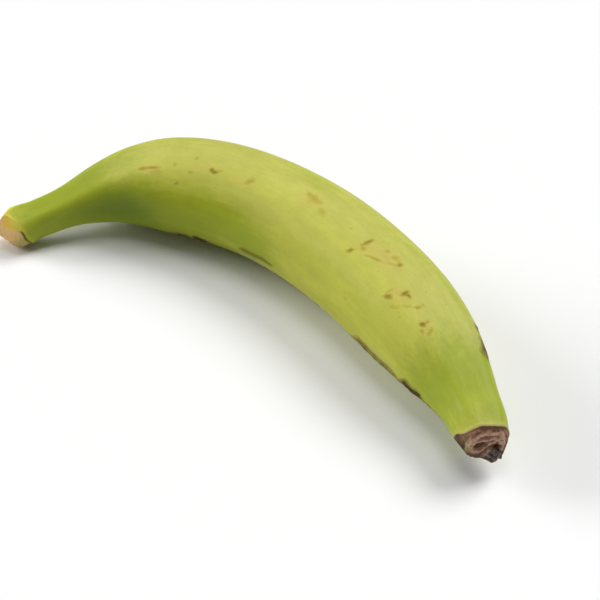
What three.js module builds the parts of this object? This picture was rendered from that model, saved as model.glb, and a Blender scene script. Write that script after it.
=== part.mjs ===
// A green plantain lying on its side, as one closed solid.
// Millimetres, +Z up. The origin is on the surface the fruit lies on, under the middle of its box.
// +X runs along the chord from the cut stem to the blossom end, +Y towards the outside of the bow.
import * as THREE from "three";

// The middle line, from the stem: the length of each stretch and how far it turns, in degrees.
const BENDS = [
  { length: 45, turn: 0 },
  { length: 30, turn: -36 },
  { length: 50, turn: -25 },
  { length: 60, turn: -18 },
  { length: 52, turn: -9 },
  { length: 34, turn: -10 },
  { length: 22, turn: -9 },
];
const BEND_BLEND = 30; // one stretch runs into the next over this length

// Distance from the middle line to the five flats, at stations along the fruit.
const GIRTH = [
  [0, 8.6],
  [10, 8.2],
  [19, 7.8],
  [33, 8.6],
  [50, 12.6],
  [65, 16.5],
  [81, 19.7],
  [101, 21.4],
  [135, 22.0],
  [180, 21.9],
  [220, 20.5],
  [245, 17.3],
  [263, 13.1],
  [274, 11.0],
  [283, 10.3],
  [293, 8.4],
];

// Five flats meet in five blunt ridges. An angle of 0 looks to the outside of the bow, 90 looks up.
const FLATS = [27, 103, 177, 246, 315];
const TWIST = -20; // the flats turn this far round from stem to tip
const CRISPNESS = [
  [0, 6.5],
  [50, 6.5],
  [100, 4.6],
  [190, 4.6],
  [245, 6.0],
  [275, 6.0],
  [293, 4.2],
]; // a low value rounds the ridges off, a high one sharpens them

// The ridge that looks up and into the bow is blunter than the rest, most of all at the shoulder.
const SOFT_RIDGE = 140;
const SOFT_RIDGE_POWER = 7; // a low value softens the flats beside the ridge as well
const SOFTENING = [
  [0, 0.2],
  [30, 0.26],
  [55, 0.46],
  [110, 0.32],
  [160, 0.15],
  [220, 0.1],
  [293, 0],
];

// The stem was cut off with four strokes of a knife, which leave a low point near its middle.
const STEM_STROKES = [
  { towards: 228, slope: 0.75, start: 0 },
  { towards: 140, slope: 1.05, start: 0 },
  { towards: 48, slope: 1.7, start: 4.3 },
  { towards: 330, slope: 0.5, start: 0 },
];

// The blossom end is a flat, slightly hollow scar with a rounded rim.
const TIP_RIM_DROP = 1.6;
const TIP_RIM_POWER = 6; // a high value keeps the face flat almost to the rim
const TIP_HOLLOW_DEPTH = 1.4;
const TIP_HOLLOW_WIDTH = 5;

// How it lies: rolled about the chord and pitched until three places touch the surface.
const ROLL = 10.2;
const PITCH = 1.9;
const PRESSED_FLAT = 0.6; // the peel gives this much where it rests

// Fineness of the mesh and of the sums behind it.
const COLUMNS = 40;
const ROW_SPACING = 3.5;
const END_SHARES = [0.35, 0.68, 0.9]; // rings of an end face, as shares of the way to its rim
const END_BLEND = 18; // the rows straighten over this length behind an uneven end
const LINE_STEP = 0.5;
const HEADING_SAMPLES = 15;

const LENGTH = BENDS.reduce((sum, bend) => sum + bend.length, 0);
const ORIGIN = new THREE.Vector2();
const radians = THREE.MathUtils.degToRad;
const { clamp, lerp } = THREE.MathUtils;

// Value at a place between stations, on a smooth cubic through them.
function along(stations, s) {
  const last = stations.length - 1;
  const slopeAt = (i) => {
    const before = stations[Math.max(i - 1, 0)];
    const after = stations[Math.min(i + 1, last)];
    return (after[1] - before[1]) / (after[0] - before[0]);
  };
  const inside = clamp(s, stations[0][0], stations[last][0]);
  let i = 0;
  while (i < last - 1 && inside > stations[i + 1][0]) i += 1;
  const span = stations[i + 1][0] - stations[i][0];
  const t = (inside - stations[i][0]) / span;
  const rise = slopeAt(i) * t * (1 - t) ** 2 - slopeAt(i + 1) * t * t * (1 - t);
  return lerp(stations[i][1], stations[i + 1][1], t * t * (3 - 2 * t)) + span * rise;
}

// Turn made by the middle line up to a place, with a sharp change from stretch to stretch.
function sharpHeading(s) {
  let turned = 0;
  let start = 0;
  for (const bend of BENDS) {
    turned += bend.turn * clamp((s - start) / bend.length, 0, 1);
    start += bend.length;
  }
  return turned;
}

// The same turn averaged over the blend, in radians.
function heading(s) {
  let sum = 0;
  for (let k = 0; k <= HEADING_SAMPLES; k += 1) {
    sum += sharpHeading(s + (k / HEADING_SAMPLES - 0.5) * BEND_BLEND);
  }
  return radians(sum / (HEADING_SAMPLES + 1));
}

// The middle line in its own plane, and the angle that brings both its ends onto the chord.
const line = [ORIGIN];
for (let s = 0; s < LENGTH; s += LINE_STEP) {
  const step = new THREE.Vector2(LINE_STEP, 0).rotateAround(ORIGIN, heading(s + LINE_STEP / 2));
  line.push(line.at(-1).clone().add(step));
}
const chordAngle = line.at(-1).angle();

function centreAt(s) {
  const steps = clamp(s, 0, LENGTH) / LINE_STEP;
  const i = Math.min(Math.floor(steps), line.length - 2);
  return line[i].clone().lerp(line[i + 1], steps - i).rotateAround(ORIGIN, -chordAngle);
}

// How squarely a side of the section looks to an angle: 1 straight at it, 0 from a right angle on.
function facing(side, s, angle) {
  return Math.max(Math.cos(angle - radians(side + (TWIST * s) / LENGTH)), 0);
}

// Radius of the five-sided section at an angle round it.
function radiusAt(s, angle) {
  const soft = along(SOFTENING, s) * facing(SOFT_RIDGE, s, angle) ** SOFT_RIDGE_POWER;
  const crispness = along(CRISPNESS, s) * (1 - soft);
  let sum = 0;
  for (const flat of FLATS) {
    sum += facing(flat, s, angle) ** crispness;
  }
  return along(GIRTH, s) * sum ** (-1 / crispness);
}

// How far the cut of the stem lies behind the start of the middle line.
function stemFace(radius, angle) {
  const depths = STEM_STROKES.map(({ towards, slope, start }) => {
    return slope * (radius * Math.cos(angle - radians(towards)) - start);
  });
  return Math.max(...depths);
}

// How far the blossom scar lies behind the end of the middle line.
function tipFace(radius, angle) {
  const rim = TIP_RIM_DROP * (radius / radiusAt(LENGTH, angle)) ** TIP_RIM_POWER;
  const hollow = TIP_HOLLOW_DEPTH * Math.exp(-((radius / TIP_HOLLOW_WIDTH) ** 2));
  return rim + hollow;
}

// A point of the fruit: its place along the middle line, its angle round it and its radius.
function pointAt(s, angle, radius) {
  const centre = centreAt(s);
  const turn = heading(s) - chordAngle;
  const outwards = new THREE.Vector3(-Math.sin(turn), Math.cos(turn), 0);
  const point = new THREE.Vector3(centre.x, centre.y, radius * Math.sin(angle));
  return point.addScaledVector(outwards, radius * Math.cos(angle));
}

// The points at one angle, from the middle of the stem's cut to the middle of the blossom scar.
function columnPoints(angle) {
  const points = [];
  for (const share of END_SHARES) {
    const radius = share * radiusAt(0, angle);
    points.push(pointAt(stemFace(radius, angle), angle, radius));
  }
  const stemRim = stemFace(radiusAt(0, angle), angle);
  const tipRim = tipFace(radiusAt(LENGTH, angle), angle);
  const rows = Math.round(LENGTH / ROW_SPACING);
  for (let row = 0; row <= rows; row += 1) {
    const even = (LENGTH * row) / rows;
    const afterStem = stemRim * Math.max(1 - even / END_BLEND, 0);
    const beforeTip = tipRim * Math.max(1 - (LENGTH - even) / END_BLEND, 0);
    points.push(pointAt(even + afterStem - beforeTip, angle, radiusAt(even, angle)));
  }
  for (const share of [...END_SHARES].reverse()) {
    const radius = share * radiusAt(LENGTH, angle);
    points.push(pointAt(LENGTH - tipFace(radius, angle), angle, radius));
  }
  return points;
}

function plantainGeometry() {
  const columns = [];
  for (let column = 0; column < COLUMNS; column += 1) {
    columns.push(columnPoints((2 * Math.PI * column) / COLUMNS));
  }
  const stemMiddle = pointAt(stemFace(0, 0), 0, 0);
  const tipMiddle = pointAt(LENGTH - tipFace(0, 0), 0, 0);
  const points = [stemMiddle, ...columns.flat(), tipMiddle];
  const rows = columns[0].length;
  const tipIndex = points.length - 1;
  const faces = [];
  for (let column = 0; column < COLUMNS; column += 1) {
    const here = 1 + column * rows;
    const next = 1 + ((column + 1) % COLUMNS) * rows;
    faces.push(0, next, here);
    for (let row = 0; row < rows - 1; row += 1) {
      faces.push(here + row, next + row, here + row + 1);
      faces.push(next + row, next + row + 1, here + row + 1);
    }
    faces.push(here + rows - 1, next + rows - 1, tipIndex);
  }
  const geometry = new THREE.BufferGeometry().setFromPoints(points);
  geometry.setIndex(faces);
  return geometry;
}

// Turn the fruit to the way it lies, set it down and press the touching places flat.
function layDown(geometry) {
  geometry.rotateX(radians(ROLL));
  geometry.rotateY(-radians(PITCH));
  geometry.computeBoundingBox();
  const box = geometry.boundingBox;
  const middle = box.getCenter(new THREE.Vector3());
  geometry.translate(-middle.x, -middle.y, -box.min.z - PRESSED_FLAT);
  const position = geometry.attributes.position;
  for (let i = 0; i < position.count; i += 1) {
    position.setZ(i, Math.max(position.getZ(i), 0));
  }
  geometry.computeVertexNormals();
  return geometry;
}

const peel = new THREE.MeshStandardMaterial({ color: 0xaab14a, roughness: 0.5, metalness: 0 });
const plantain = new THREE.Mesh(layDown(plantainGeometry()), peel);
plantain.name = "plantain";

const group = new THREE.Group();
group.add(plantain);

export default group;
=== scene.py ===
import math

import bpy
import numpy as np
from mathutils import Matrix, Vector
from mathutils import noise as perlin


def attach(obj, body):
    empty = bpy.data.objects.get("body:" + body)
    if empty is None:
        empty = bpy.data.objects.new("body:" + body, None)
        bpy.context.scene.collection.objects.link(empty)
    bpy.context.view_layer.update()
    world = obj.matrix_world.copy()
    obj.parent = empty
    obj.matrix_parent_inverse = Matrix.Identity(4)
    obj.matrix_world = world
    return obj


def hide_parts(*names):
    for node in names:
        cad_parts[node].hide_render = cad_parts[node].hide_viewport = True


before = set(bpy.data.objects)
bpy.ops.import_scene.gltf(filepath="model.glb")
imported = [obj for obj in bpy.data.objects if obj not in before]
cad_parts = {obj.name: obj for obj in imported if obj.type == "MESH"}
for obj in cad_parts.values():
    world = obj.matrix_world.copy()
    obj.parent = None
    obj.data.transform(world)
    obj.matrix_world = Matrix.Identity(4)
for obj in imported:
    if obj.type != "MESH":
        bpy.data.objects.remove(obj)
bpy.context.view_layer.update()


# ---------------------------------------------------------------------------------------
# Where it is looked at from: a long lens from the front right, well above the fruit, near
# enough to show the stem, the belly of the bow and the blossom end together.
# ---------------------------------------------------------------------------------------
MM = 0.001
CAMERA_AZIMUTH = math.radians(34.39)
CAMERA_ELEVATION = math.radians(40)
CAMERA_DISTANCE = 565.95 * MM
CAMERA_LENS = 85
CAMERA_SENSOR = 36
NEAREST_SEEN = 10 * MM
LOOKED_AT = Vector((25.06, -20.8, 25)) * MM

camera_data = bpy.data.cameras.new("camera")
camera_data.lens = CAMERA_LENS
camera_data.sensor_width = CAMERA_SENSOR
camera_data.clip_start = NEAREST_SEEN
camera = bpy.data.objects.new("camera", camera_data)
camera.location = LOOKED_AT + CAMERA_DISTANCE * Vector((
    math.sin(CAMERA_AZIMUTH) * math.cos(CAMERA_ELEVATION),
    -math.cos(CAMERA_AZIMUTH) * math.cos(CAMERA_ELEVATION),
    math.sin(CAMERA_ELEVATION),
))
camera.rotation_euler = (math.pi / 2 - CAMERA_ELEVATION, 0, CAMERA_AZIMUTH)
bpy.context.collection.objects.link(camera)
bpy.context.scene.camera = camera


# ---------------------------------------------------------------------------------------
# The line the fruit grew along. A plantain hangs from its bunch by the neck and bends up
# towards the light as it fills, most of all at the shoulder. Each point of the line carries
# how thick the fruit is there and how sharp its ridges are.
# ---------------------------------------------------------------------------------------
# Each stretch of the line: its length in millimetres and how far it turns, in degrees.
BENDS = [(45, 0), (30, -36), (50, -25), (60, -18), (52, -9), (34, -10), (22, -9)]
BEND_BLEND = 30  # one stretch runs into the next over this length
LINE_STEP = 0.5
HEADING_SAMPLES = 15
LENGTH = sum(length for length, turn in BENDS)
# A station is a place along the fruit, in millimetres from the stem, and the value there.
GIRTH = [
    (0, 8.6), (10, 8.2), (19, 7.8), (33, 8.6), (50, 12.6), (65, 16.5), (81, 19.7),
    (101, 21.4), (135, 22.0), (180, 21.9), (220, 20.5), (245, 17.3), (263, 13.1),
    (274, 11.0), (283, 10.3), (293, 8.4),
]
# A low crispness rounds the ridges off; the softening lowers it at the blunter ridge.
CRISPNESS = [(0, 6.5), (50, 6.5), (100, 4.6), (190, 4.6), (245, 6.0), (275, 6.0), (293, 4.2)]
SOFTENING = [(0, 0.2), (30, 0.26), (55, 0.46), (110, 0.32), (160, 0.15), (220, 0.1), (293, 0)]


def through(stations, where):
    """Values at places on a smooth cubic through (place, value) stations."""
    places, values = np.array(stations, float).T
    where = np.clip(where, places[0], places[-1])
    slopes = np.empty(len(places))
    slopes[1:-1] = (values[2:] - values[:-2]) / (places[2:] - places[:-2])
    slopes[0] = (values[1] - values[0]) / (places[1] - places[0])
    slopes[-1] = (values[-1] - values[-2]) / (places[-1] - places[-2])
    i = np.clip(np.searchsorted(places, where) - 1, 0, len(places) - 2)
    span = places[i + 1] - places[i]
    t = (where - places[i]) / span
    rise = slopes[i] * t * (1 - t) ** 2 - slopes[i + 1] * t * t * (1 - t)
    step = t * t * (3 - 2 * t)
    return values[i] + (values[i + 1] - values[i]) * step + span * rise


def heading(where):
    """Turn made by the line up to a place, averaged over the blend, in radians."""
    turned = 0
    for k in range(HEADING_SAMPLES + 1):
        at = where + (k / HEADING_SAMPLES - 0.5) * BEND_BLEND
        start = 0
        for length, turn in BENDS:
            turned += turn * min(max((at - start) / length, 0), 1)
            start += length
    return math.radians(turned / (HEADING_SAMPLES + 1))


line_points = [complex(0, 0)]
for step in range(round(LENGTH / LINE_STEP)):
    turn = heading((step + 0.5) * LINE_STEP)
    line_points.append(line_points[-1] + LINE_STEP * complex(math.cos(turn), math.sin(turn)))
to_chord = abs(line_points[-1]) / line_points[-1]
line_points = [point * to_chord for point in line_points]
line_places = np.arange(len(line_points)) * LINE_STEP

line_mesh = bpy.data.meshes.new("middle_line")
line_mesh.from_pydata(
    [(point.real * MM, point.imag * MM, 0) for point in line_points],
    [(i, i + 1) for i in range(len(line_points) - 1)],
    [],
)
for name, values in (
    ("girth", through(GIRTH, line_places) * MM),
    ("crispness", through(CRISPNESS, line_places)),
    ("softening", through(SOFTENING, line_places)),
):
    line_mesh.attributes.new(name, "FLOAT", "POINT").data.foreach_set(
        "value", values.astype(np.float32)
    )
middle_line = bpy.data.objects.new("middle_line", line_mesh)
bpy.context.collection.objects.link(middle_line)


# ---------------------------------------------------------------------------------------
# The fruit. The peel swells round the middle line with five flats that meet in five blunt
# ridges, and the whole section turns a little from stem to tip. The stem was cut through
# with four strokes of a knife; the blossom end is a slightly hollow scar with a round rim.
# ---------------------------------------------------------------------------------------
# Angles round the fruit are in degrees: 0 looks to the outside of the bow, 90 looks up.
FLATS = [27, 103, 177, 246, 315]
FLAT_NAMES = [f"Flat {k + 1}" for k in range(len(FLATS))]
TWIST = -20
SOFT_RIDGE = 140  # the ridge that looks up and into the bow is blunter than the rest
SOFT_RIDGE_POWER = 7
# Each stroke of the knife: the angle it falls away to, its slope, and how far out it starts.
STEM_STROKES = [(228, 0.75, 0), (140, 1.05, 0), (48, 1.7, 4.3), (330, 0.5, 0)]
TIP_RIM_DROP = 1.6
TIP_RIM_POWER = 6  # a high value keeps the face flat almost to the rim
TIP_HOLLOW_DEPTH = 1.4
TIP_HOLLOW_WIDTH = 5
END_BLEND = 18  # the rows straighten over this length behind an uneven end
# How fine the mesh is, and how much closer its rows stand near both ends.
COLUMNS = 216
ROWS = 345
FACE_RINGS = 36
ROWS_CROWDED = 0.074
ROWS_CROWDED_POWER = 9
# The shallow swells of the flesh: their height, their breadth, and their shape.
UNEVENNESS = 1.0
SWELL_BREADTH = 24
SWELL_BREADTH_TO_LENGTH = 0.45
SWELL_SEED = 0
# How it lies: rolled about its chord and pitched, and pressed a little flat where it rests.
ROLL = 10.2
PITCH = 1.9
PRESSED_FLAT = 0.6


def join(tree, part, socket):
    """Links another node's output to a socket, or writes a plain value in it."""
    if isinstance(part, bpy.types.NodeSocket):
        tree.links.new(part, socket)
    elif part is not None:
        socket.default_value = part


def add(tree, kind, *parts, **settings):
    """A new node. The parts feed its open sockets in their order; None leaves one alone."""
    node = tree.nodes.new(kind)
    for name, setting in settings.items():
        setattr(node, name, setting)
    open_sockets = [socket for socket in node.inputs if socket.enabled]
    for part, socket in zip(parts, open_sockets):
        join(tree, part, socket)
    return node


def maths(tree, operation, *parts):
    """The result of one operation on numbers."""
    return add(tree, "ShaderNodeMath", *parts, operation=operation).outputs[0]


def vectors(tree, operation, *parts):
    """The result of one operation on vectors: a vector, or a number such as a length."""
    node = add(tree, "ShaderNodeVectorMath", *parts, operation=operation)
    return next(output for output in node.outputs if output.enabled)


def moved(tree, fruit, offset):
    """The fruit with each of its points moved by an offset."""
    return add(tree, "GeometryNodeSetPosition", fruit, None, None, offset).outputs[0]


def noted(tree, fruit, name, value, kind):
    """The fruit with a value kept on each of its points under a name."""
    return add(
        tree, "GeometryNodeStoreNamedAttribute", fruit, None, name, value, data_type=kind
    ).outputs[0]


def open_tree(name, result, inputs):
    """A new node tree with one mesh as its result, and what it is given from outside."""
    tree = bpy.data.node_groups.new(name, "GeometryNodeTree")
    sockets = tree.interface
    sockets.new_socket(result, in_out="OUTPUT", socket_type="NodeSocketGeometry")
    for kind, names in inputs:
        for name in names:
            sockets.new_socket(name, in_out="INPUT", socket_type=f"NodeSocket{kind}")
    return tree, tree.nodes.new("NodeGroupInput").outputs


def share_along(tree, height):
    """The share of the fruit's length at each row; rows crowd together near both ends."""
    both_ways = maths(tree, "MULTIPLY", height, 2)
    crowd = maths(tree, "POWER", both_ways, ROWS_CROWDED_POWER)
    spread = maths(tree, "MULTIPLY", both_ways, 1 + ROWS_CROWDED)
    spread = maths(tree, "SUBTRACT", spread, maths(tree, "MULTIPLY", crowd, ROWS_CROWDED))
    return maths(tree, "MULTIPLY_ADD", spread, 0.5, 0.5)


def skin_radius(tree, given, line, ring, along_share, along):
    """Radius of the five-sided section in each direction round it."""
    sampled = {}
    for name in ("girth", "crispness", "softening"):
        value = add(tree, "GeometryNodeInputNamedAttribute", name, data_type="FLOAT")
        sampled[name] = add(
            tree, "GeometryNodeSampleCurve", line, value.outputs[0], along,
            data_type="FLOAT", mode="LENGTH",
        ).outputs["Value"]

    def facing(name):
        """How squarely a side looks to a point: 1 straight at it, 0 from a right angle on."""
        angle = maths(tree, "MULTIPLY_ADD", along_share, given["Twist"], given[name])
        towards = maths(tree, "MULTIPLY", ring["X"], maths(tree, "COSINE", angle))
        towards = maths(tree, "MULTIPLY_ADD", ring["Y"], maths(tree, "SINE", angle), towards)
        return maths(tree, "MAXIMUM", towards, 0)

    soft = maths(tree, "POWER", facing("Soft Ridge"), SOFT_RIDGE_POWER)
    soft = maths(tree, "MULTIPLY", soft, sampled["softening"])
    crispness = maths(tree, "MULTIPLY", sampled["crispness"], maths(tree, "SUBTRACT", 1, soft))
    total = 1e-6  # keeps the sum above nothing
    for name in FLAT_NAMES:
        total = maths(tree, "ADD", maths(tree, "POWER", facing(name), crispness), total)
    power = maths(tree, "DIVIDE", -1, crispness)
    return maths(tree, "MULTIPLY", maths(tree, "POWER", total, power), sampled["girth"])


def stem_depth(tree, across, up):
    """How far the cut of the stem lies behind the start of the line."""
    depth = None
    for towards, slope, start in STEM_STROKES:
        towards = math.radians(towards)
        stroke = maths(tree, "MULTIPLY", across, slope * math.cos(towards))
        stroke = maths(tree, "MULTIPLY_ADD", up, slope * math.sin(towards), stroke)
        stroke = maths(tree, "SUBTRACT", stroke, slope * start * MM)
        depth = stroke if depth is None else maths(tree, "MAXIMUM", depth, stroke)
    return depth


def tip_depth(tree, given, share, radius):
    """How far the blossom scar lies behind the end of the line."""
    rim = maths(tree, "POWER", share, TIP_RIM_POWER)
    rim = maths(tree, "MULTIPLY", rim, given["Tip Rim Drop"])
    hollow = maths(tree, "POWER", maths(tree, "DIVIDE", radius, TIP_HOLLOW_WIDTH * MM), 2)
    hollow = maths(tree, "EXPONENT", maths(tree, "MULTIPLY", hollow, -1))
    return maths(tree, "MULTIPLY_ADD", hollow, given["Tip Hollow Depth"], rim)


def nearness(tree, distance):
    """1 at an end of the line, falling to 0 over the blend behind it."""
    far = maths(tree, "DIVIDE", distance, END_BLEND * MM)
    return maths(tree, "MAXIMUM", maths(tree, "SUBTRACT", 1, far), 0)


def filled_out(tree, given, fruit, along, across, up):
    """The fruit with long shallow swells, as it fills out unevenly; another seed moves them."""
    stretched = add(
        tree, "ShaderNodeCombineXYZ",
        maths(tree, "MULTIPLY", along, SWELL_BREADTH_TO_LENGTH), across, up,
    ).outputs[0]
    stretched = vectors(tree, "ADD", stretched, given["Seed"])
    swell = add(
        tree, "ShaderNodeTexNoise", stretched, 1 / (SWELL_BREADTH * MM), 2.0,
        noise_dimensions="3D",
    ).outputs[0]
    swell = maths(tree, "MULTIPLY", maths(tree, "SUBTRACT", swell, 0.5), given["Unevenness"])
    normal = add(tree, "GeometryNodeInputNormal").outputs[0]
    return moved(tree, fruit, vectors(tree, "SCALE", normal, swell))


def laid_down(tree, given, fruit):
    """The fruit on its side, rolled and pitched until it rests, and set down."""
    turn = add(
        tree, "ShaderNodeCombineXYZ", given["Roll"],
        maths(tree, "MULTIPLY", given["Pitch"], -1), 0,
    ).outputs[0]
    turn = add(tree, "FunctionNodeEulerToRotation", turn).outputs[0]
    fruit = add(tree, "GeometryNodeTransform", fruit, None, turn).outputs[0]
    box = add(
        tree, "GeometryNodeAttributeStatistic", fruit, None,
        add(tree, "GeometryNodeInputPosition").outputs[0], data_type="FLOAT_VECTOR",
    ).outputs
    middle = vectors(tree, "SCALE", vectors(tree, "ADD", box["Min"], box["Max"]), -0.5)
    middle = vectors(tree, "MULTIPLY", middle, (1, 1, 0))
    lowest = add(tree, "ShaderNodeSeparateXYZ", box["Min"]).outputs["Z"]
    sink = maths(tree, "MULTIPLY", maths(tree, "ADD", lowest, given["Pressed Flat"]), -1)
    sink = add(tree, "ShaderNodeCombineXYZ", 0, 0, sink).outputs[0]
    return moved(tree, fruit, vectors(tree, "ADD", middle, sink))


def fruit_growth():
    """The node tree that grows the fruit along the middle line it is given."""
    tree, given = open_tree("fruit_growth", "Fruit", (
        ("Geometry", ["Middle Line"]),
        ("Int", ["Columns", "Rows", "Face Rings"]),
        ("Float", ["Length", *FLAT_NAMES, "Twist", "Soft Ridge", "Tip Rim Drop"]),
        ("Float", ["Tip Hollow Depth", "Unevenness", "Roll", "Pitch", "Pressed Flat"]),
        ("Int", ["Seed"]),
        ("Material", ["Peel"]),
    ))

    # A plain tube with closed ends gives the points; each knows its place on the fruit.
    line = add(tree, "GeometryNodeMeshToCurve", given["Middle Line"]).outputs[0]
    tube = add(
        tree, "GeometryNodeMeshCylinder",
        given["Columns"], given["Rows"], given["Face Rings"], 1.0, 1.0,
    ).outputs["Mesh"]
    place = add(tree, "GeometryNodeInputPosition").outputs[0]
    flat_place = vectors(tree, "MULTIPLY", place, (1, 1, 0))
    share = vectors(tree, "LENGTH", flat_place)
    ring = add(tree, "ShaderNodeSeparateXYZ", vectors(tree, "NORMALIZE", flat_place)).outputs
    height = add(tree, "ShaderNodeSeparateXYZ", place).outputs["Z"]
    along_share = share_along(tree, height)
    along = maths(tree, "MULTIPLY", along_share, given["Length"])
    radius = skin_radius(tree, given, line, ring, along_share, along)
    radius = maths(tree, "MULTIPLY", radius, share)
    across = maths(tree, "MULTIPLY", radius, ring["X"])
    up = maths(tree, "MULTIPLY", radius, ring["Y"])

    # The rows near the two ends take on the shape of the cut and of the scar.
    near_stem = nearness(tree, along)
    shifted = maths(tree, "MULTIPLY_ADD", stem_depth(tree, across, up), near_stem, along)
    near_tip = nearness(tree, maths(tree, "SUBTRACT", given["Length"], along))
    tip_shift = maths(tree, "MULTIPLY", tip_depth(tree, given, share, radius), near_tip)
    shifted = maths(tree, "SUBTRACT", shifted, tip_shift)

    # Each point stands out from the line: across the bow and up.
    on_line = add(
        tree, "GeometryNodeSampleCurve", line, 0.0, shifted, data_type="FLOAT", mode="LENGTH"
    ).outputs
    outwards = vectors(tree, "CROSS_PRODUCT", (0, 0, 1), on_line["Tangent"])
    outwards = vectors(tree, "NORMALIZE", outwards)
    grown = vectors(tree, "SCALE", outwards, across)
    grown = vectors(tree, "ADD", grown, on_line["Position"])
    grown = vectors(tree, "ADD", grown, add(tree, "ShaderNodeCombineXYZ", 0, 0, up).outputs[0])
    section = add(tree, "ShaderNodeCombineXYZ", across, up, share).outputs[0]
    fruit = noted(tree, tube, "along", along, "FLOAT")
    fruit = noted(tree, fruit, "section", section, "FLOAT_VECTOR")
    fruit = add(tree, "GeometryNodeSetPosition", fruit, None, grown).outputs[0]
    fruit = filled_out(tree, given, fruit, along, across, up)
    fruit = laid_down(tree, given, fruit)

    fruit = add(tree, "GeometryNodeSetShadeSmooth", fruit).outputs[0]
    fruit = add(tree, "GeometryNodeRealizeInstances", fruit).outputs[0]
    fruit = add(tree, "GeometryNodeSetMaterial", fruit, None, given["Peel"]).outputs[0]
    join(tree, fruit, tree.nodes.new("NodeGroupOutput").inputs[0])
    return tree


def grow(carrier, tree, sizes, name):
    """Runs a tree on its carrier and returns the plain mesh object; the carrier goes."""
    modifier = carrier.modifiers.new("growth", "NODES")
    modifier.node_group = tree
    for socket in tree.interface.items_tree:
        if socket.item_type == "SOCKET" and socket.in_out == "INPUT" and socket.name in sizes:
            modifier[socket.identifier] = sizes[socket.name]
    ready = bpy.context.evaluated_depsgraph_get()
    mesh = bpy.data.meshes.new_from_object(carrier.evaluated_get(ready), depsgraph=ready)
    mesh.name = name
    carrier.modifiers.remove(modifier)
    bpy.data.objects.remove(carrier)
    made = bpy.data.objects.new(name, mesh)
    bpy.context.collection.objects.link(made)
    return made


peel = bpy.data.materials.new("peel")
plantain = grow(middle_line, fruit_growth(), {
    "Columns": COLUMNS,
    "Rows": ROWS,
    "Face Rings": FACE_RINGS,
    "Length": LENGTH * MM,
    **{name: math.radians(flat) for name, flat in zip(FLAT_NAMES, FLATS)},
    "Twist": math.radians(TWIST),
    "Soft Ridge": math.radians(SOFT_RIDGE),
    "Tip Rim Drop": TIP_RIM_DROP * MM,
    "Tip Hollow Depth": TIP_HOLLOW_DEPTH * MM,
    "Unevenness": UNEVENNESS * MM,
    "Seed": SWELL_SEED,
    "Roll": math.radians(ROLL),
    "Pitch": math.radians(PITCH),
    "Pressed Flat": PRESSED_FLAT * MM,
    "Peel": peel,
}, "plantain_fruit")
fruit_mesh = plantain.data


# ---------------------------------------------------------------------------------------
# Where each point of the skin lies on the fruit, in millimetres: along it from the stem,
# across its section, and the angle round it. The marks below are all placed by these.
# ---------------------------------------------------------------------------------------
SEED_STEP = 17.3  # one seed's noise lies this many waves from the next one's

count = len(fruit_mesh.vertices)
along = np.empty(count, np.float32)
fruit_mesh.attributes["along"].data.foreach_get("value", along)
section = np.empty(count * 3, np.float32)
fruit_mesh.attributes["section"].data.foreach_get("vector", section)
section = section.reshape(-1, 3)
along = along.astype(float) / MM
across, upwards = section[:, 0] / MM, section[:, 1] / MM
share = np.clip(section[:, 2].astype(float), 0, 1)
radius = np.hypot(across, upwards)
angle = np.degrees(np.arctan2(upwards, across)) % 360
straight = np.stack([along, across, upwards], 1)
relief = np.zeros(count)


def ease(values, start, end):
    """0 before start, 1 after end, and smooth between them."""
    t = np.clip((values - start) / (end - start), 0, 1)
    return t * t * (3 - 2 * t)


def within(values, start, full, faded, end):
    """1 from full to faded, easing to 0 at start and at end."""
    return ease(values, start, full) * (1 - ease(values, faded, end))


def fading(values, middle, width):
    """1 at the middle, fading smoothly away on both sides of it."""
    return np.exp(-(((values - middle) / width) ** 2))


def degrees_from(towards):
    """How far round the fruit each point lies from an angle, from -180 to 180 degrees."""
    return (angle - towards + 180) % 360 - 180


def near_angle(towards, half_width):
    """1 at an angle round the fruit, easing to 0 at half_width degrees from it."""
    return 1 - ease(np.abs(degrees_from(towards)), 0, half_width)


def rough(grain, seed):
    """Smooth random values of about -1 to 1, with one wave in each grain (x, y, z), in mm."""
    scaled = straight / np.array(grain) + SEED_STEP * seed
    return np.array([perlin.noise(Vector(point)) for point in scaled.tolist()])


def keep_field(name, values):
    """Writes one number a point into the mesh, for the finish to read."""
    field = fruit_mesh.attributes.new(name, "FLOAT", "POINT")
    field.data.foreach_set("value", values.astype(np.float32))


# ---------------------------------------------------------------------------------------
# The cut of the stem. The knife went through peel and core together and shaved a strip off
# the belly side, so the skin ends in a small step there with a dark line along it: partly
# dried skin, partly the step's painted shadow.
# The cut itself is pale, fibrous flesh inside an orange rim.
# ---------------------------------------------------------------------------------------
# Where the skin ends: the angle round the stem, and how far along it that is.
CUT_EDGE = [(-40, 3.2), (20, 3.5), (62, 2.6), (82, 0.6), (100, -1.2), (118, -2.1), (136, -2.2),
            (148, -1.3), (157, 0.5), (167, 2.7), (184, 5.3), (197, 7.1), (210, 7.4), (235, 6.6),
            (265, 4.4), (320, 3.2), (380, 3.5)]
CUT_EDGE_WAVER = 0.25
STEM_RADIUS = 8.7
STEM_REACH = 25  # the cut is looked for within this distance of the end
FAR_OFF = 20  # stands for any place too far from an end to be marked by it
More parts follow.
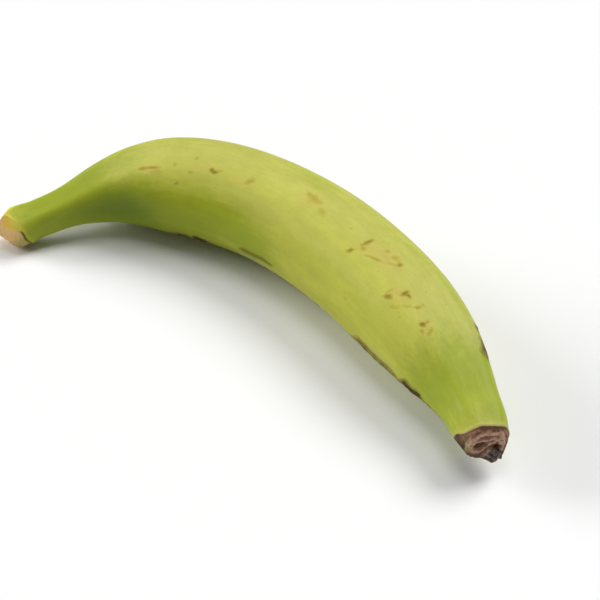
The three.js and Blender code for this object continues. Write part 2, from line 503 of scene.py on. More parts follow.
# A side is the angle that its middle looks to and its half width, both in degrees.
SHAVED_SIDE = (207, 58)
SHAVED_DEPTH = 0.45
SKIN_LIP_SIDE = (190, 60)
SKIN_LIP_WIDTH = 0.7
SKIN_LIP_HEIGHT = 0.25
FIBRE_SIZE = 0.9
FINE_FIBRE_SIZE = 0.45
FIBRE_HEIGHT = 0.13
RIM_GROOVE_SIDE = (122, 55)
RIM_GROOVE_WIDTH = 0.9
RIM_GROOVE_DEPTH = 0.2
ORANGE_RIM_SIDE = (105, 60)
DRIED_SIDE = (208, 68)
CREASE = (146, 166, 240, 264)  # the angles at which it starts, is full, fades and ends
PARED_SIDE = (108, 50)
PARED_LENGTH = 2.2

cut_edge = through(CUT_EDGE, angle) + CUT_EDGE_WAVER * rough((3, 3, 3), 1)
into_cut = cut_edge - along + (1 - share) * STEM_RADIUS * (along < 1)
into_cut = np.where(along < STEM_REACH, into_cut, -FAR_OFF)
stem_end = 1 - ease(along, 10, 14)
relief -= SHAVED_DEPTH * ease(into_cut, -0.3, 0.5) * near_angle(*SHAVED_SIDE) * stem_end
skin_lip = fading(into_cut, -SKIN_LIP_WIDTH, SKIN_LIP_WIDTH)
relief += SKIN_LIP_HEIGHT * skin_lip * near_angle(*SKIN_LIP_SIDE)
fibres = rough((FIBRE_SIZE,) * 3, 2) + 0.6 * rough((FINE_FIBRE_SIZE,) * 3, 3)
relief += FIBRE_HEIGHT * fibres * ease(into_cut, 0.2, 0.9)
from_rim = along + (1 - share) * STEM_RADIUS
rim_groove = fading(from_rim, 0, RIM_GROOVE_WIDTH)
relief -= RIM_GROOVE_DEPTH * rim_groove * near_angle(*RIM_GROOVE_SIDE)
keep_field("cut", np.clip(into_cut, -FAR_OFF, FAR_OFF))
keep_field("rim", near_angle(*ORANGE_RIM_SIDE))
keep_field("dried", 0.95 * near_angle(*DRIED_SIDE) * ease(share, 0.45, 0.95))
keep_field("crease", within(angle, *CREASE) * stem_end)
# Pale pared skin at the cut's upper edge, made paler still by painted light where the cap faces away
# from the lamps.
keep_field("pared_and_lit", (1 - ease(along, 0, PARED_LENGTH)) * near_angle(*PARED_SIDE))


# ---------------------------------------------------------------------------------------
# The blossom end. The flower dried where it stood: the peel stops in a thin pale lip, and
# below it is a brown, shrunken knob whose end is creased in folds round two deep pits,
# with one dark leftover of the flower at its lower rim.
# ---------------------------------------------------------------------------------------
# Where the skin ends: the angle round the blossom end, and how far along the fruit that is.
BLOSSOM_EDGE = [(-60, 287.5), (0, 290), (36, 291.2), (67, 291.6), (97, 290.8), (128, 290.7),
                (153, 288.4), (171, 285.6), (200, 284.2), (240, 284.6), (300, 287.5), (360, 290)]
# The crests of the folds, as lines of points on the end, across and up from its middle.
FOLD_LINES = [
    [(-3.6, -1.6), (-0.4, -0.7), (2.6, 0.9), (5.2, 2.9), (5.6, 5.0)],
    [(-6.0, 2.0), (-4.6, 4.2), (-1.9, 3.4), (0.8, 2.6), (2.6, 3.6)],
    [(-3.6, -1.6), (-5.6, -0.4), (-6.6, 2.4), (-5.2, 5.0), (-2.6, 6.3), (1.4, 6.6), (4.4, 5.8)],
    [(-2.6, -4.6), (0.2, -3.0), (2.2, -2.9)],
    [(6.0, 3.8), (6.2, 1.4), (5.8, -1.6), (4.8, -3.4)],
    [(3.0, 2.4), (4.6, 1.4), (5.0, -0.4)],
]
FOLD_HEIGHT = 0.8
FOLD_WIDTH = 0.85
# Each pit: across and up from the middle of the end, its width and its depth.
PITS = [
    (-3.6, 1.0, 1.0, 0.6),
    (3.0, -2.0, 0.8, 1.3),
    (-0.6, 5.6, 0.7, 0.3),
    (-1.4, 1.3, 0.9, 0.4),
]
TIP_RADIUS = 8.6
TIP_REACH = 33  # the knob is looked for within this distance of the end
BLOSSOM_EDGE_WAVER = 0.3
KNOB_SUNK = 0.5
KNOB_RAISED = 0.7
KNOB_RAISED_SIDE = (215, 60)
SHRUNK_LIP_WIDTH = 0.6
SHRUNK_LIP_HEIGHT = 0.2
WRINKLE_HEIGHT = 0.3
FOLD_WANDER = 0.5
FOLD_LEVEL = 0.35  # the share of a fold's height at which the end neither rises nor sinks
CRUMB_SIZE = 1.0
CRUMB_HEIGHT = 0.25
# The leftover of the flower: where its middle is, by angle and distance, and its size.
LOBE_ANGLE = 290
LOBE_OUT = 7.4
LOBE_SIZE = 3.9
LOBE_HEIGHT = 2.4
# Where its colours lie: a dark rim, broad on two sides, partly dry dirt and partly painted
# shade; a tan patch on the face of the end; and painted shade underneath, on the lower rim
# and on the wall behind the face.
RIM_WIDTH = 0.25
RIM_BROAD_SIDES = [(68, 60, 1.7), (197, 38, 1.9)]
TAN_SIDE = (168, 44)
UNDER_SIDE = (250, 72)
LOWER_RIM_SIDE = (240, 66)
WALL_SIDE = (200, 80)

blossom_edge = through(BLOSSOM_EDGE, angle) + BLOSSOM_EDGE_WAVER * rough((4, 2.2, 2.2), 4)
into_blossom = np.where(
    along > LENGTH - 0.5,
    LENGTH - blossom_edge + (1 - share) * TIP_RADIUS,
    along - blossom_edge,
)
into_blossom = np.where(along > LENGTH - TIP_REACH, into_blossom, -FAR_OFF)
knob_sink = KNOB_SUNK - KNOB_RAISED * near_angle(*KNOB_RAISED_SIDE)
relief -= knob_sink * ease(into_blossom, -0.1, 1.1)
relief += SHRUNK_LIP_HEIGHT * fading(into_blossom, -SHRUNK_LIP_WIDTH, SHRUNK_LIP_WIDTH)
shrunk = rough((7, 1.5, 1.5), 5) + 0.5 * rough((3, 0.7, 0.7), 6)
relief += WRINKLE_HEIGHT * shrunk * ease(into_blossom, 0.3, 1.5)


def from_line(points, x, y):
    """Distance of places on the end from a line of points."""
    nearest = np.full(len(x), 1e3)
    for (x0, y0), (x1, y1) in zip(points, points[1:]):
        span = (x1 - x0) ** 2 + (y1 - y0) ** 2
        t = np.clip(((x - x0) * (x1 - x0) + (y - y0) * (y1 - y0)) / span, 0, 1)
        nearest = np.minimum(nearest, np.hypot(x - x0 - t * (x1 - x0), y - y0 - t * (y1 - y0)))
    return nearest


wander_x = across + FOLD_WANDER * rough((2.2, 2.2, 2.2), 7)
wander_y = upwards + FOLD_WANDER * rough((2.2, 2.2, 2.2), 8)
folds = np.zeros(count)
for points in FOLD_LINES:
    folds = np.maximum(folds, fading(from_line(points, wander_x, wander_y), 0, FOLD_WIDTH))
folds = FOLD_HEIGHT * (folds - FOLD_LEVEL)
for x, y, width, depth in PITS:
    folds -= depth * np.exp(-((wander_x - x) ** 2 + (wander_y - y) ** 2) / width ** 2)
folds += CRUMB_HEIGHT * rough((CRUMB_SIZE,) * 3, 9)
folds *= (along > LENGTH - 3) * ease(into_blossom, 0.8, 2)
lobe_x = LOBE_OUT * math.cos(math.radians(LOBE_ANGLE))
lobe_y = LOBE_OUT * math.sin(math.radians(LOBE_ANGLE))
lobe = np.exp(-(((across - lobe_x) ** 2 + (upwards - lobe_y) ** 2) / LOBE_SIZE ** 2) ** 1.5)
lobe *= ease(into_blossom, 1, 3)
relief += folds + LOBE_HEIGHT * lobe * (1 + 0.45 * rough((1.3, 1.3, 1.3), 10))
keep_field("blossom", np.clip(into_blossom, -FAR_OFF, FAR_OFF))
keep_field("fold", folds)
keep_field("lobe", lobe)
rim_reach = RIM_WIDTH
for towards, half_width, broader in RIM_BROAD_SIDES:
    rim_reach = rim_reach + broader * near_angle(towards, half_width)
keep_field("rim_reach", rim_reach)
before_end = LENGTH - along
tan = 0.85 * near_angle(*TAN_SIDE) * ease(share, 0.6, 0.82)
keep_field("tan", tan * (1 - ease(before_end, 0.5, 2.5)))
keep_field("under", near_angle(*UNDER_SIDE) * ease(share, 0.35, 0.75))
lower_rim = 0.85 * near_angle(*LOWER_RIM_SIDE) * ease(share, 0.7, 0.95)
keep_field("wall", np.maximum(near_angle(*WALL_SIDE) * ease(before_end, 0, 1.5), lower_rim))


# ---------------------------------------------------------------------------------------
# Rubbed ridges. Where the fruit rubbed against its neighbours in the bunch and the crate,
# the sharpest stretches of its ridges dried into a thin brown crust, cracked and uneven.
# ---------------------------------------------------------------------------------------
# Each rubbed stretch: from and to along the fruit, its angle at both, half width, how dark.
RUBBED = [
    (84, 114, 207, 203, 0.7, 0.5),
    (87, 98, 206, 205, 1.6, 0.75),
    (98, 110, 205, 203, 1.9, 1.0),
    (206, 268, 195, 196, 0.7, 0.6),
    (211, 227, 191, 189, 2.2, 0.5),
    (218, 244, 188, 190.5, 2.3, 0.48),
    (244.5, 260, 191, 192, 2.7, 1.0),
    (259.5, 265, 195, 195, 1.2, 0.9),
    (246, 252, 39, 39, 1.8, 0.7),
    (251, 263, 38, 39, 3.2, 0.54),
    (196, 232, 274, 269, 0.9, 0.8),
    (60, 84, 290, 286, 0.7, 0.7),
    (150, 171, 350, 348, 0.8, 0.6),
]
# A faint olive line along the lower ridge: partly a scar, partly a painted groove shadow.
SCAR_AND_SHADOW_LINE = (130, 155, 189, 186.5, 1.5)  # a faint dark line, given like the rows above
# Each pale edge is painted light where a ridge catches the light: its angle and width, in
# degrees, where it starts and is at its full, where it starts to fade and ends, and how pale it is.
LIT_EDGES = [
    (199, 4.5, 122, 132, 150, 163, 1.0),
    (181, 4, 218, 228, 240, 250, 0.6),
    (46, 4, 246, 250, 255, 260, 0.8),
]
RUBBED_SWAY = 0.8
CRUST_HEIGHT = 0.35
FLAKE_SIDE = (38, 30)
FLAKE_HEIGHT = 0.5

sway = RUBBED_SWAY * rough((9, 9, 9), 11)
breadth = 1 + 0.5 * rough((5, 5, 5), 12)


def streak(start, end, angle_start, angle_end, half_width):
    """1 on a wandering line along the fruit, fading out at its sides and ends."""
    t = (along - start) / (end - start)
    line_angle = angle_start + (angle_end - angle_start) * np.clip(t, 0, 1)
    aside = np.radians(degrees_from(line_angle)) * radius + sway
    ends = within(along, start - 2, start + 4, end - 4, end + 2)
    width = np.maximum(half_width * breadth * ends, 0.05)
    return np.clip(1.4 - np.abs(aside) / width, 0, 1) * ends * (share > 0.99)


flaked = np.clip(1 + 0.6 * rough((4, 1.6, 1.6), 16), 0.3, 1.2)
rubbed = np.zeros(count)
for *line, half_width, dark in RUBBED:
    rubbed = np.maximum(rubbed, streak(*line, half_width) * dark * flaked)
keep_field("scar_and_shadow_line", streak(*SCAR_AND_SHADOW_LINE))
relief += CRUST_HEIGHT * ease(rubbed, 0.2, 1) * (1 + 0.9 * rough((2.5, 1.1, 1.1), 13))
flakes = rough((2.2, 1.6, 1.6), 17) * near_angle(*FLAKE_SIDE)
relief += FLAKE_HEIGHT * ease(rubbed, 0.1, 0.6) * flakes
keep_field("rubbed", rubbed)
lit_edge = np.zeros(count)
for towards, width, start, full, faded, end, paleness in LIT_EDGES:
    lit_edge += paleness * fading(angle, towards, width) * within(along, start, full, faded, end)
keep_field("lit_edge", lit_edge)


# ---------------------------------------------------------------------------------------
# Scabs. Small corky spots where insects fed on the young skin, most of them in loose
# groups along the side that faced out, where the skin between them has a warm tint.
# ---------------------------------------------------------------------------------------
# Each scab: along, angle, half its length and width, its slant in degrees and how dark it is.
SCABS = [
    (72.7, 112, 1.9, 0.8, 0, 0.55), (77.6, 112, 3.6, 0.5, 3, 0.6), (80.4, 118, 2.8, 1.0, 3, 0.2),
    (89.2, 107, 1.2, 0.7, 64, 0.35), (92.2, 130, 0.9, 0.5, -24, 0.65), (98.4, 95, 0.9, 0.8, 0, 0.4),
    (98.4, 115, 1.1, 0.7, 0, 0.35), (108.6, 107, 1.3, 0.85, 25, 0.9),
    (110.4, 108.8, 1.2, 0.75, 10, 0.9), (112.1, 106, 1.7, 0.8, -19, 0.35),
    (128.9, 105, 1.8, 1.2, -49, 0.45), (156.6, 86, 1.4, 0.9, 30, 0.4), (159.5, 87.5, 2.6, 1.5, 9, 0.36),
    (163, 88, 1.6, 1.0, -20, 0.3), (159, 93.5, 1.2, 0.6, 40, 0.25), (168, 95.5, 2.4, 1.3, 20, 0.3),
    (184, 90, 1.2, 0.6, 0, 0.25), (194.6, 89, 2.3, 0.75, -82, 0.85), (193, 109.5, 1.3, 0.8, -68, 0.75),
    (193.8, 106, 1.2, 0.5, -62, 0.3), (195.9, 98, 1.3, 0.9, 16, 0.45), (201, 100, 1.7, 0.5, -29, 0.4),
    (204.1, 97, 2.2, 0.6, -20, 0.5), (203.5, 80.5, 1.0, 0.8, -32, 0.4),
    (208.3, 80, 1.2, 0.8, -46, 0.45), (212.4, 81.5, 1.0, 0.9, 90, 0.7), (210.9, 80, 1.4, 0.6, 19, 0.3),
    (209.9, 88.5, 2.9, 0.5, -35, 0.25), (222.6, 115, 1.4, 1.0, -33, 0.75),
    (225.5, 99, 1.5, 0.8, 87, 0.95), (227.5, 97.5, 1.0, 0.6, 0, 0.8),
    (220.9, 110.5, 1.3, 0.5, -88, 0.35), (228.4, 117.5, 1.8, 0.85, -40, 0.3),
    (231.4, 106, 2.0, 0.7, -49, 0.3), (233.8, 97.5, 1.1, 0.7, -78, 0.5), (234, 91, 0.6, 0.5, -42, 0.4),
    (241.6, 105, 1.0, 0.9, -82, 0.95), (241.5, 99.5, 1.3, 0.6, 78, 0.5),
    (244.1, 110.5, 1.0, 0.65, 10, 0.5), (246, 103.5, 1.9, 0.6, 54, 0.5), (204.4, 152, 1.0, 0.7, 0, 0.3),
    (206, 143, 0.8, 0.5, 0, 0.2), (118, 20, 1.4, 0.9, 20, 0.7), (121, 24, 0.8, 0.7, 0, 0.5),
    (146, 336, 1.8, 1.0, -20, 0.7), (149, 341, 1.0, 0.7, 0, 0.5), (182, 8, 1.2, 0.9, 0, 0.8),
    (186, 13, 1.6, 0.6, 40, 0.5), (215, 345, 1.0, 0.8, 0, 0.6), (84, 318, 1.5, 0.8, 0, 0.6),
    (234, 300, 1.4, 0.8, 0, 0.6),
]
# Each tinted place: along, angle, half its length and width.
TINTED = [
    (160, 89, 8, 5), (197.5, 95, 7, 4), (206, 88, 13, 6.5), (225, 106, 7, 5),
    (243, 105, 6, 3.5), (108, 104, 7, 3.5), (100, 112, 5, 3), (78, 115, 8, 3),
    (124, 109, 6, 3), (120, 22, 7, 4), (147, 338, 6, 4), (184, 10, 7, 4),
]
SCAB_RAGGEDNESS = 0.35
SCAB_HEIGHT = 0.10

ragged = rough((1.3, 1.0, 1.0), 14)
scab = np.zeros(count)
for place, place_angle, length, width, slant, dark in SCABS:
    forth = along - place
    aside = np.radians(degrees_from(place_angle)) * radius
    lean = math.radians(slant)
    u = (forth * math.cos(lean) + aside * math.sin(lean)) / length
    v = (aside * math.cos(lean) - forth * math.sin(lean)) / width
    reach = np.hypot(u, v) + SCAB_RAGGEDNESS * ragged
    scab = np.maximum(scab, dark * (1 - ease(reach, 0.3, 2.0)))
tint = np.zeros(count)
for place, place_angle, length, width in TINTED:
    aside = np.radians(degrees_from(place_angle)) * radius
    reach = np.hypot((along - place) / length, aside / width)
    tint = np.maximum(tint, 1 - ease(reach, 0.2, 1.1))
relief += SCAB_HEIGHT * scab * (1 + rough((0.9, 0.9, 0.9), 15))
keep_field("scab", scab)
keep_field("tint", tint)


# ---------------------------------------------------------------------------------------
# How far each part of the peel has turned from green. The full middle, which took the sun,
# is the yellowest; the neck and the blossom end stay green. The hollow of the shoulder gets
# painted shade: a deep dark green standing for the shade that falls there.
# ---------------------------------------------------------------------------------------
TURNED_ALONG = [
    (0, 0.8), (7, 0.32), (20, 0.05), (45, 0.1), (60, 0.55), (80, 0.9), (100, 1),
    (232, 1), (246, 0.72), (258, 0.22), (272, 0.1), (283, 0.4), (290, 0.75),
]
# Each greener side: the angle it looks to, its half width, and how much less it has turned.
GREENER_SIDES = [(30, 72, 0.5), (170, 50, 0.15)]
# A spot: its place along the fruit, its half length, its angle and its half width.
# The first spot, a lime strip on the lower ridge, is painted bounce light; the second is a yellower
# patch near the tip.
LIT_AND_YELLOWER_SPOTS = [(121, 12, 192, 16), (252, 10, 52, 30)]
YELLOWER_BY = 0.4
# Where the painted shade lies in the hollow of the shoulder.
PAINTED_SHADE_SPOT = (57, 26, 172, 60)
# The upper side's peel is whiter and bluer: a painted sheen of the lamps overhead.
SHEEN_SIDE = (77, 70)
# Along the belly and along the band of painted light beside the upper ridge of the neck,
# four places say where each starts, is at its full, fades and ends.
BELLY_SIDE = (185, 85)
BELLY_ALONG = (35, 65, 110, 185)
DEEP_BELLY_SIDE = (150, 45)
DEEP_BELLY_ALONG = (60, 85, 120, 165)
LIT_BAND_SIDE = (124, 20)
LIT_BAND_ALONG = (8, 20, 90, 115)
LIT_BAND_BY = 0.12
# Each patch is a spot and how much brighter or darker it is.
PATCHES = [
    (132, 14, 137, 15, -0.13), (176, 22, 157, 16, -0.10), (244, 14, 153, 20, -0.13),
    (254, 7, 82, 18, 0.12), (108, 24, 55, 28, -0.14), (190, 30, 184, 22, -0.14),
    (146, 12, 95, 20, 0.09), (9, 6, 112, 36, -0.09),
]


def spot(place, length, towards, half_width):
    """1 at a place on the fruit, fading away along it and round it."""
    return fading(along, place, length) * near_angle(towards, half_width)


turned = through(TURNED_ALONG, along)
belly = near_angle(*BELLY_SIDE) * within(along, *BELLY_ALONG)
turned *= 1 - 0.95 * ease(belly, 0.05, 0.75)
for towards, half_width, less in GREENER_SIDES:
    turned *= 1 - less * near_angle(towards, half_width)
for place in LIT_AND_YELLOWER_SPOTS:
    turned += YELLOWER_BY * spot(*place)
keep_field("turned", turned)
keep_field("painted_shade", spot(*PAINTED_SHADE_SPOT))
keep_field("painted_sheen", near_angle(*SHEEN_SIDE) * (0.15 + 0.85 * ease(along, 8, 40)))
keep_field("belly", near_angle(*DEEP_BELLY_SIDE) * within(along, *DEEP_BELLY_ALONG))
# A band of painted light beside the neck's upper ridge, then the lighter and darker patches.
brighter = LIT_BAND_BY * near_angle(*LIT_BAND_SIDE) * within(along, *LIT_BAND_ALONG)
for *place, change in PATCHES:
    brighter += change * spot(*place)
keep_field("brighter", brighter)


# ---------------------------------------------------------------------------------------
# The skin with its marks. What is raised or sunk stands out from the peel by the relief
# worked out above, and the peel is pressed flat where the fruit rests on the floor.
# ---------------------------------------------------------------------------------------
points = np.empty(count * 3)
fruit_mesh.vertices.foreach_get("co", points)
points = points.reshape(-1, 3)
normals = np.empty(count * 3)
fruit_mesh.vertices.foreach_get("normal", normals)
points += normals.reshape(-1, 3) * relief[:, None] * MM
points[:, 2] = np.maximum(points[:, 2], 0)
fruit_mesh.vertices.foreach_set("co", points.ravel())
fruit_mesh.update()


# ---------------------------------------------------------------------------------------
# The peel's finish. Waxy and fairly dull, green with yellow streaks that run with the
# fibres, fine pores, brown corky marks, and at the two ends the bare cut and the dry knob.
# ---------------------------------------------------------------------------------------
# Colours are linear red, green and blue, and 1 for opaque.
# The first turned colour carries a painted sheen and is used on the upper side.
TURNED_PEEL_SHEEN = (0.515, 0.51, 0.108, 1)
TURNED_SIDE = (0.51, 0.52, 0.058, 1)
GREEN_PEEL = (0.325, 0.39, 0.022, 1)
BELLY_PEEL = (0.335, 0.39, 0.010, 1)
PAINTED_SHADE_PEEL = (0.20, 0.28, 0.018, 1)
WARM_TINT = (0.58, 0.42, 0.10, 1)
PORE = (0.27, 0.27, 0.03, 1)
SCAB_EDGE = (0.43, 0.36, 0.045, 1)
SCAB_HEART = (0.25, 0.205, 0.015, 1)
LIT_EDGE_PEEL = (0.42, 0.42, 0.17, 1)
SCAR_AND_SHADOW_PEEL = (0.19, 0.195, 0.003, 1)
CRUST_EDGE = (0.245, 0.215, 0.035, 1)
CRUST_HEART = (0.065, 0.046, 0.012, 1)
CUT_MARGIN = (0.60, 0.57, 0.055, 1)
CUT_PARED_LIT = (0.82, 0.66, 0.10, 1)
CUT_RIM = (0.90, 0.60, 0.07, 1)
CUT_FLESH = (0.92, 0.58, 0.25, 1)
CUT_FIBRE = (0.80, 0.56, 0.20, 1)
CUT_STRAND = (0.50, 0.31, 0.11, 1)
CUT_DRIED = (0.42, 0.35, 0.12, 1)
CUT_LINE_SHADOW = (0.155, 0.13, 0.009, 1)
BLOSSOM_LIP = (0.46, 0.38, 0.16, 1)
BLOSSOM_RIM_AND_SHADE = (0.13, 0.075, 0.03, 1)
BLOSSOM_KNOB = (0.38, 0.215, 0.135, 1)
BLOSSOM_VALLEY_SHADE = (0.20, 0.085, 0.05, 1)
BLOSSOM_CREST_LIGHT = (0.58, 0.37, 0.265, 1)
BLOSSOM_TAN = (0.40, 0.31, 0.155, 1)
BLOSSOM_PIT_SHADE = (0.065, 0.02, 0.009, 1)
BLOSSOM_DARK_AND_SHADE = (0.11, 0.07, 0.05, 1)
BLOSSOM_WALL_SHADE = (0.05, 0.03, 0.016, 1)
BLOSSOM_SOOT = (0.062, 0.048, 0.04, 1)
BLOSSOM_DUST = (0.22, 0.18, 0.155, 1)
WAX_ROUGHNESS = (0.44, 0.54)  # lowest and highest
DRY_ROUGHNESS = 0.85
WAX_SPECULAR = 0.2
BUMP_STRENGTH = 0.35
BUMP_DEPTH = 0.15

peel.use_nodes = True
tree = peel.node_tree
shader = tree.nodes["Principled BSDF"]


def mixed(share, first, second):
    """The first colour where the share is 0, the second where it is 1."""
    node = tree.nodes.new("ShaderNodeMix")
    node.data_type = "RGBA"
    join(tree, share, node.inputs[0])
    join(tree, first, node.inputs[6])
    join(tree, second, node.inputs[7])
    return node.outputs[2]


def eased(value, start, end, low=0.0, high=1.0):
    """low up to start, high from end on, and smooth between them."""
    return add(
        tree, "ShaderNodeMapRange", value, start, end, low, high,
        interpolation_type="SMOOTHSTEP",
    ).outputs[0]


def varied(value, noise, amount, start=0.3, end=0.7):
    """The value with a noise laid over it, up to an amount either way."""
    return maths(tree, "ADD", value, eased(noise, start, end, -amount, amount))


def field(name):
    """A number that was kept in the mesh."""
    return add(tree, "ShaderNodeAttribute", attribute_name=name).outputs["Fac"]


def grain(where, scale, detail=2.0, roughness=0.5):
    """A noise from 0 to 1, with so many waves in a metre."""
    return add(tree, "ShaderNodeTexNoise", where, scale, detail, roughness).outputs[0]


def dots(where, scale, start, end):
    """1 at scattered points, so many in a metre, easing to 0 round them."""
    apart = add(tree, "ShaderNodeTexVoronoi", where, scale).outputs["Distance"]
    return eased(apart, start, end, 1, 0)


section_at = add(tree, "ShaderNodeAttribute", attribute_name="section").outputs["Vector"]
section_at = vectors(tree, "MULTIPLY", section_at, (1, 1, 0))
swirl = add(tree, "ShaderNodeSeparateXYZ", section_at).outputs
along_at = field("along")


def unrolled(stretch):
    """Place on the straightened fruit, drawn out along it."""
    return add(
        tree, "ShaderNodeCombineXYZ", swirl["X"], swirl["Y"],
        maths(tree, "DIVIDE", along_at, stretch),
    ).outputs[0]


# The grains of the skin. The fibres draw some of them out along the fruit.
broad = grain(unrolled(2.5), 90, detail=3)
streaks = grain(unrolled(22), 700, detail=3, roughness=0.6)
fine_streaks = grain(unrolled(14), 2200)
mottle = grain(unrolled(1.5), 420, detail=3, roughness=0.6)
speckle = grain(unrolled(1), 2600)
blotches = grain(unrolled(1.8), 190)

# The green and the yellow of the skin.
turned_here = field("turned")
for noise, amount in ((broad, 0.14), (streaks, 0.06), (mottle, 0.08)):
    turned_here = varied(turned_here, noise, amount)
# Painted sheen: the turned peel is whiter towards the upper side.
turned_colour = mixed(field("painted_sheen"), TURNED_SIDE, TURNED_PEEL_SHEEN)
green_colour = mixed(field("belly"), GREEN_PEEL, BELLY_PEEL)
colour = mixed(eased(turned_here, 0.0, 1.0), green_colour, turned_colour)
# Painted shade: the deep dark green in the hollow of the shoulder.
colour = mixed(eased(varied(field("painted_shade"), broad, 0.10), 0.05, 1.0), colour, PAINTED_SHADE_PEEL)
tint_here = maths(tree, "MULTIPLY", field("tint"), eased(mottle, 0.35, 0.65, 0.15, 0.6))
colour = mixed(tint_here, colour, WARM_TINT)
value = varied(eased(streaks, 0.25, 0.75, 0.982, 1.018), fine_streaks, 0.015)
value = varied(value, speckle, 0.025)
value = varied(value, blotches, 0.035, 0.32, 0.68)
# The band of painted light on the neck, and the lighter and darker patches.
value = maths(tree, "ADD", value, field("brighter"))
hue = tree.nodes.new("ShaderNodeHueSaturation")
join(tree, value, hue.inputs["Value"])
join(tree, colour, hue.inputs["Color"])
colour = hue.outputs[0]

# Pores, scabs, the bruise and the rubbed ridges, with broken edges.
pores = dots(unrolled(1.3), 420, 0.05, 0.16)
pores = maths(tree, "MULTIPLY", pores, eased(blotches, 0.35, 0.6, 0.05, 0.5))
colour = mixed(pores, colour, PORE)
broken = maths(tree, "SUBTRACT", grain(unrolled(1), 1500, detail=5, roughness=0.7), 0.5)
scab_here = maths(tree, "MULTIPLY_ADD", broken, 0.4, field("scab"))
scab_here = maths(tree, "MULTIPLY", scab_here, eased(field("scab"), 0.02, 0.12))
colour = mixed(eased(scab_here, 0.0, 0.4, 0, 0.85), colour, SCAB_EDGE)
colour = mixed(eased(scab_here, 0.3, 0.9), colour, SCAB_HEART)
# The olive line on the lower ridge, partly a scar and partly a painted groove shadow.
scar_and_shadow_here = maths(tree, "MULTIPLY_ADD", broken, 0.5, field("scar_and_shadow_line"))
colour = mixed(eased(scar_and_shadow_here, 0.05, 0.9), colour, SCAR_AND_SHADOW_PEEL)
rubbed_here = maths(tree, "MULTIPLY_ADD", broken, 0.9, field("rubbed"))
rubbed_here = maths(tree, "MULTIPLY", rubbed_here, eased(field("rubbed"), 0.02, 0.15))
colour = mixed(eased(rubbed_here, 0.06, 0.35, 0, 0.85), colour, CRUST_EDGE)
colour = mixed(eased(rubbed_here, 0.35, 0.75), colour, CRUST_HEART)
# Painted light along three ridge edges.
colour = mixed(maths(tree, "MULTIPLY", field("lit_edge"), 0.55), colour, LIT_EDGE_PEEL)

# The cut of the stem.
cut_at = field("cut")
fibre = grain(section_at, 1300, detail=4, roughness=0.7)
flesh = mixed(eased(fibre, 0.35, 0.65), CUT_FLESH, CUT_FIBRE)
strands = dots(section_at, 1150, 0.12, 0.34)
flesh = mixed(maths(tree, "MULTIPLY", strands, 0.45), flesh, CUT_STRAND)
flesh = mixed(field("dried"), flesh, CUT_DRIED)
past_rim = maths(tree, "MULTIPLY_ADD", field("rim"), -3.2, cut_at)
flesh = mixed(eased(past_rim, -1.6, 0.8), CUT_RIM, flesh)
# The pared margin: pale cut skin with painted light on the cap.
margin = mixed(field("pared_and_lit"), CUT_MARGIN, CUT_PARED_LIT)
margin_share = eased(field("crease"), 0, 1, 1, 0.4)
margin_share = maths(tree, "MULTIPLY", eased(cut_at, -4.2, -1.8), margin_share)
colour = mixed(margin_share, colour, margin)
colour = mixed(eased(cut_at, 0.1, 1.0), colour, flesh)
# A dark line along the step: dried skin and the step's painted shadow.
line_and_shadow_at = maths(tree, "ABSOLUTE", maths(tree, "ADD", cut_at, 0.05))
line_and_shadow_at = eased(line_and_shadow_at, 0.5, 1.5, 1, 0)
line_and_shadow_at = maths(tree, "MULTIPLY", line_and_shadow_at, eased(field("crease"), 0.0, 0.6))
colour = mixed(line_and_shadow_at, colour, CUT_LINE_SHADOW)

# The blossom end.
blossom_at = maths(tree, "MULTIPLY_ADD", broken, 0.5, field("blossom"))
fold_at = maths(tree, "MULTIPLY_ADD", broken, 0.35, field("fold"))
# Painted shade in the valleys and pits and painted light on the crests, set by the folds' height.
knob = mixed(eased(fold_at, -0.3, 0.05), BLOSSOM_VALLEY_SHADE, BLOSSOM_KNOB)
knob = mixed(eased(fold_at, 0.0, 0.5), knob, BLOSSOM_CREST_LIGHT)
knob = mixed(eased(fold_at, -0.4, -1.2), knob, BLOSSOM_PIT_SHADE)
darker = grain(unrolled(4), 900, detail=3, roughness=0.65)
knob = mixed(eased(darker, 0.45, 0.75, 0, 0.6), knob, BLOSSOM_DARK_AND_SHADE)
knob = mixed(field("tan"), knob, BLOSSOM_TAN)
# Painted shade underneath the knob, on its lower rim and on the wall behind the face.
knob = mixed(field("under"), knob, BLOSSOM_DARK_AND_SHADE)
knob = mixed(field("wall"), knob, BLOSSOM_WALL_SHADE)
# The dark rim round the knob: dry dirt, broadened on two sides by painted shade.
past_rim = maths(tree, "SUBTRACT", blossom_at, field("rim_reach"))
knob = mixed(eased(past_rim, 0.8, -0.6), knob, BLOSSOM_RIM_AND_SHADE)
dust = eased(grain(unrolled(1), 700, detail=3, roughness=0.6), 0.4, 0.62)
knob = mixed(eased(field("lobe"), 0.12, 0.4), knob, mixed(dust, BLOSSOM_SOOT, BLOSSOM_DUST))
colour = mixed(eased(blossom_at, -0.9, -0.3), colour, BLOSSOM_LIP)
colour = mixed(eased(blossom_at, -0.2, 0.25), colour, knob)
join(tree, colour, shader.inputs["Base Color"])

# Dull wax on the skin, dry where it is corky or cut.
dry = maths(tree, "MAXIMUM", eased(cut_at, -0.2, 0.3), eased(blossom_at, -0.4, 0.2))
dry = maths(tree, "MAXIMUM", dry, eased(rubbed_here, 0.1, 0.5))
dry = maths(tree, "MAXIMUM", dry, eased(scab_here, 0.15, 0.6, 0, 0.8))
wax = eased(mottle, 0.3, 0.7, *WAX_ROUGHNESS)
roughness = add(tree, "ShaderNodeMix", dry, wax, DRY_ROUGHNESS, data_type="FLOAT").outputs[0]
join(tree, roughness, shader.inputs["Roughness"])
shader.inputs["Specular IOR Level"].default_value = WAX_SPECULAR

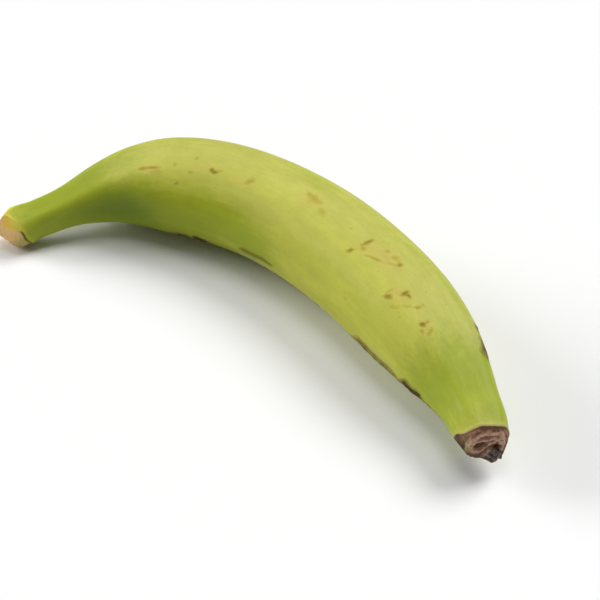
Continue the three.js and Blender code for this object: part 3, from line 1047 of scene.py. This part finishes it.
# Bump: faint fibres under the wax, pores, and a coarser crumble on what is dry.
crumble = grain(unrolled(1.2), 2400, detail=4, roughness=0.7)
height = maths(tree, "MULTIPLY", speckle, 0.12)
height = maths(tree, "MULTIPLY_ADD", fine_streaks, 0.25, height)
height = maths(tree, "MULTIPLY_ADD", streaks, 0.25, height)
height = maths(tree, "MULTIPLY_ADD", maths(tree, "MULTIPLY", crumble, dry), 2.2, height)
bump = tree.nodes.new("ShaderNodeBump")
bump.inputs["Strength"].default_value = BUMP_STRENGTH
bump.inputs["Distance"].default_value = BUMP_DEPTH * MM
join(tree, height, bump.inputs["Height"])
join(tree, bump.outputs[0], shader.inputs["Normal"])

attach(plantain, "root")
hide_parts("plantain")


# ---------------------------------------------------------------------------------------
# The floor it lies on: a plain white matt sheet, wide enough to reach past every view, so
# that the fruit's own soft shadow is all there is on it.
# ---------------------------------------------------------------------------------------
FLOOR_HALF = 6
FLOOR_WHITE = (0.86, 0.86, 0.86, 1)
FLOOR_ROUGHNESS = 0.9

floor_mesh = bpy.data.meshes.new("floor")
corners = [(-1, -1), (1, -1), (1, 1), (-1, 1)]
floor_mesh.from_pydata(
    [(x * FLOOR_HALF, y * FLOOR_HALF, 0) for x, y in corners], [], [(0, 1, 2, 3)]
)
floor = bpy.data.objects.new("floor", floor_mesh)
bpy.context.collection.objects.link(floor)
floor_paint = bpy.data.materials.new("floor_paint")
floor_paint.use_nodes = True
floor_shader = floor_paint.node_tree.nodes["Principled BSDF"]
floor_shader.inputs["Base Color"].default_value = FLOOR_WHITE
floor_shader.inputs["Roughness"].default_value = FLOOR_ROUGHNESS
floor_mesh.materials.append(floor_paint)


# ---------------------------------------------------------------------------------------
# The light: three broad soft lamps, one overhead, one behind and one at the left, in a
# plain white room that fills the shadows a little.
# ---------------------------------------------------------------------------------------
LAMP_BREADTH = math.radians(32)
# Each lamp: its name, the way to it from the fruit, and its strength.
LAMPS = [
    ("overhead", (-0.05, 0.1, 1), 0.80),
    ("behind", (0.2, 0.6, 0.75), 2.2),
    ("left", (-0.95, -0.2, 0.35), 2.1),
]
ROOM_LIGHT = 0.144

for name, towards, strength in LAMPS:
    lamp_data = bpy.data.lights.new(name, "SUN")
    lamp_data.angle = LAMP_BREADTH
    lamp_data.energy = strength
    lamp = bpy.data.objects.new(name, lamp_data)
    lamp.rotation_euler = Vector(towards).to_track_quat("Z", "Y").to_euler()
    bpy.context.collection.objects.link(lamp)

# What is seen of the room is plain white, brighter than the light it gives.
world = bpy.data.worlds.new("studio")
bpy.context.scene.world = world
world.use_nodes = True
room = world.node_tree
seen = room.nodes.new("ShaderNodeLightPath").outputs["Is Camera Ray"]
brightness = maths(room, "MULTIPLY_ADD", seen, 1 - ROOM_LIGHT, ROOM_LIGHT)
background = room.nodes["Background"]
background.inputs["Color"].default_value = (1, 1, 1, 1)
join(room, brightness, background.inputs["Strength"])
bpy.context.scene.view_settings.view_transform = "Standard"
